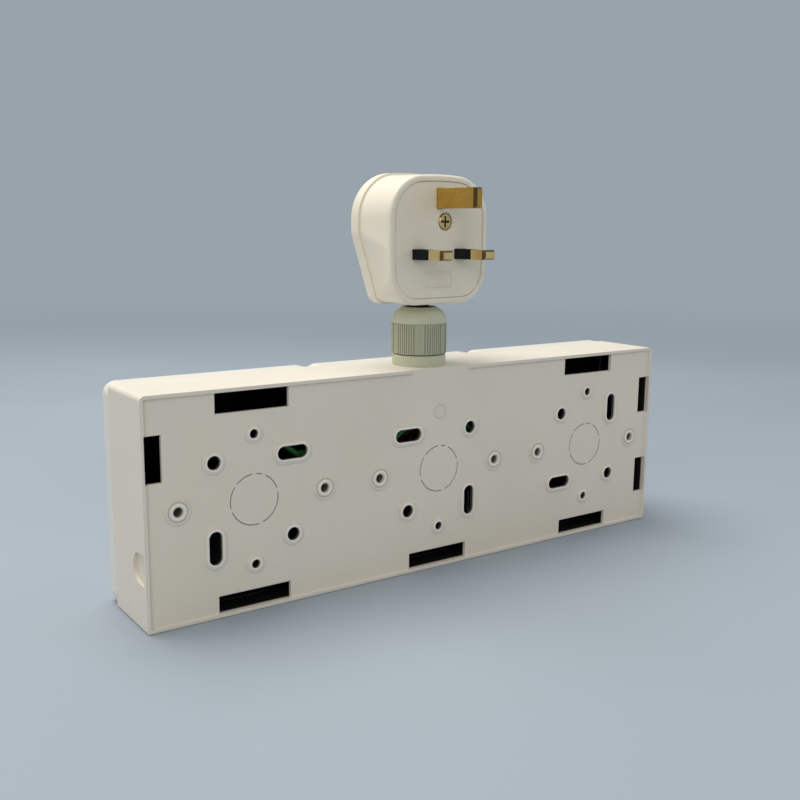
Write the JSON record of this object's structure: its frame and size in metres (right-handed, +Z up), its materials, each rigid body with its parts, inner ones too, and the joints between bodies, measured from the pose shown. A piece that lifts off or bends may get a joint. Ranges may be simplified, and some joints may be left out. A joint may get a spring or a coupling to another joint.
{
  "type": "three gang extension socket with plug",
  "caption": "Surface socket box for three plugs, standing on its long edge, with wall fixing holes, a cable gland and a fused plug with flat pins on a short cable.",
  "frame": {"origin": "on the floor face under the middle of the back box's length and depth", "axes": "+X along the box, +Y from the wall side to the socket faces, +Z up towards the plug"},
  "size_m": [0.258, 0.0638, 0.1652],
  "materials": {
    "white_plastic": "satin moulded",
    "plug_plastic": "satin moulded",
    "inner_plastic": "matt moulded",
    "gland_plastic": "satin moulded",
    "black_rubber": "matt",
    "black_plastic": "matt",
    "brass": "drawn",
    "steel": "zinc plated",
    "brown_insulation": "satin",
    "blue_insulation": "satin",
    "green_yellow_insulation": "satin",
    "fuse_ceramic": "glazed"
  },
  "bodies": {
    "unit": {"back_box": "white_plastic", "fixing_inserts": "brass", "plate_screws": "steel", "terminal_screws": "brass", "housing_screws": "steel", "gland_body": "gland_plastic", "gland_locknut": "gland_plastic", "gland_seal": "black_rubber", "gland_nut": "gland_plastic", "plug_cover": "plug_plastic", "plug_base": "plug_plastic", "earth_pin": "brass", "neutral_pin": "brass", "live_pin": "brass", "live_sleeve": "black_plastic", "neutral_sleeve": "black_plastic", "fuse_clip": "brass", "fuse_barrel": "fuse_ceramic", "fuse_caps": "steel", "plug_terminal_screws": "brass", "cord_grip": "inner_plastic", "cord_grip_screws": "steel", "plug_screw": "brass", "cable_sheath": "black_rubber", "live_core": "brown_insulation", "neutral_core": "blue_insulation", "earth_core": "green_yellow_insulation", "live_links": "brown_insulation", "neutral_links": "blue_insulation", "earth_links": "green_yellow_insulation", "socket_plate_left": "white_plastic", "socket_housing_left": "inner_plastic", "shutter_spring_left": "steel", "earth_contact_left": "brass", "neutral_contact_left": "brass", "live_contact_left": "brass", "supply_strip_left": "brass", "socket_plate_middle": "white_plastic", "socket_housing_middle": "inner_plastic", "shutter_spring_middle": "steel", "earth_contact_middle": "brass", "neutral_contact_middle": "brass", "live_contact_middle": "brass", "supply_strip_middle": "brass", "socket_plate_right": "white_plastic", "socket_housing_right": "inner_plastic", "shutter_spring_right": "steel", "earth_contact_right": "brass", "neutral_contact_right": "brass", "live_contact_right": "brass", "supply_strip_right": "brass"},
    "rocker_left": {"rocker_left": "white_plastic", "switch_blade_left": "brass"},
    "shutter_left": {"shutter_left": "inner_plastic"},
    "rocker_middle": {"rocker_middle": "white_plastic", "switch_blade_middle": "brass"},
    "shutter_middle": {"shutter_middle": "inner_plastic"},
    "rocker_right": {"rocker_right": "white_plastic", "switch_blade_right": "brass"},
    "shutter_right": {"shutter_right": "inner_plastic"}
  },
  "joints": [
    {"name": "rocker_left_tilt", "type": "hinge", "parent": "unit", "child": "rocker_left", "pos_m": [-0.108, 0.0205, 0.062], "axis": [-1, 0, 0], "range_deg": [0, 12]},
    {"name": "shutter_left_slide", "type": "slide", "parent": "unit", "child": "shutter_left", "axis": [0, 0, -1], "range_m": [0, 0.0056], "stiffness_N_per_m": 120, "springref_m": -0.003, "deforming": ["shutter_spring_left"]},
    {"name": "rocker_middle_tilt", "type": "hinge", "parent": "unit", "child": "rocker_middle", "pos_m": [-0.022, 0.0205, 0.062], "axis": [-1, 0, 0], "range_deg": [0, 12]},
    {"name": "shutter_middle_slide", "type": "slide", "parent": "unit", "child": "shutter_middle", "axis": [0, 0, -1], "range_m": [0, 0.0056], "stiffness_N_per_m": 120, "springref_m": -0.003, "deforming": ["shutter_spring_middle"]},
    {"name": "rocker_right_tilt", "type": "hinge", "parent": "unit", "child": "rocker_right", "pos_m": [0.064, 0.0205, 0.062], "axis": [-1, 0, 0], "range_deg": [0, 12]},
    {"name": "shutter_right_slide", "type": "slide", "parent": "unit", "child": "shutter_right", "axis": [0, 0, -1], "range_m": [0, 0.0056], "stiffness_N_per_m": 120, "springref_m": -0.003, "deforming": ["shutter_spring_right"]}
  ]
}
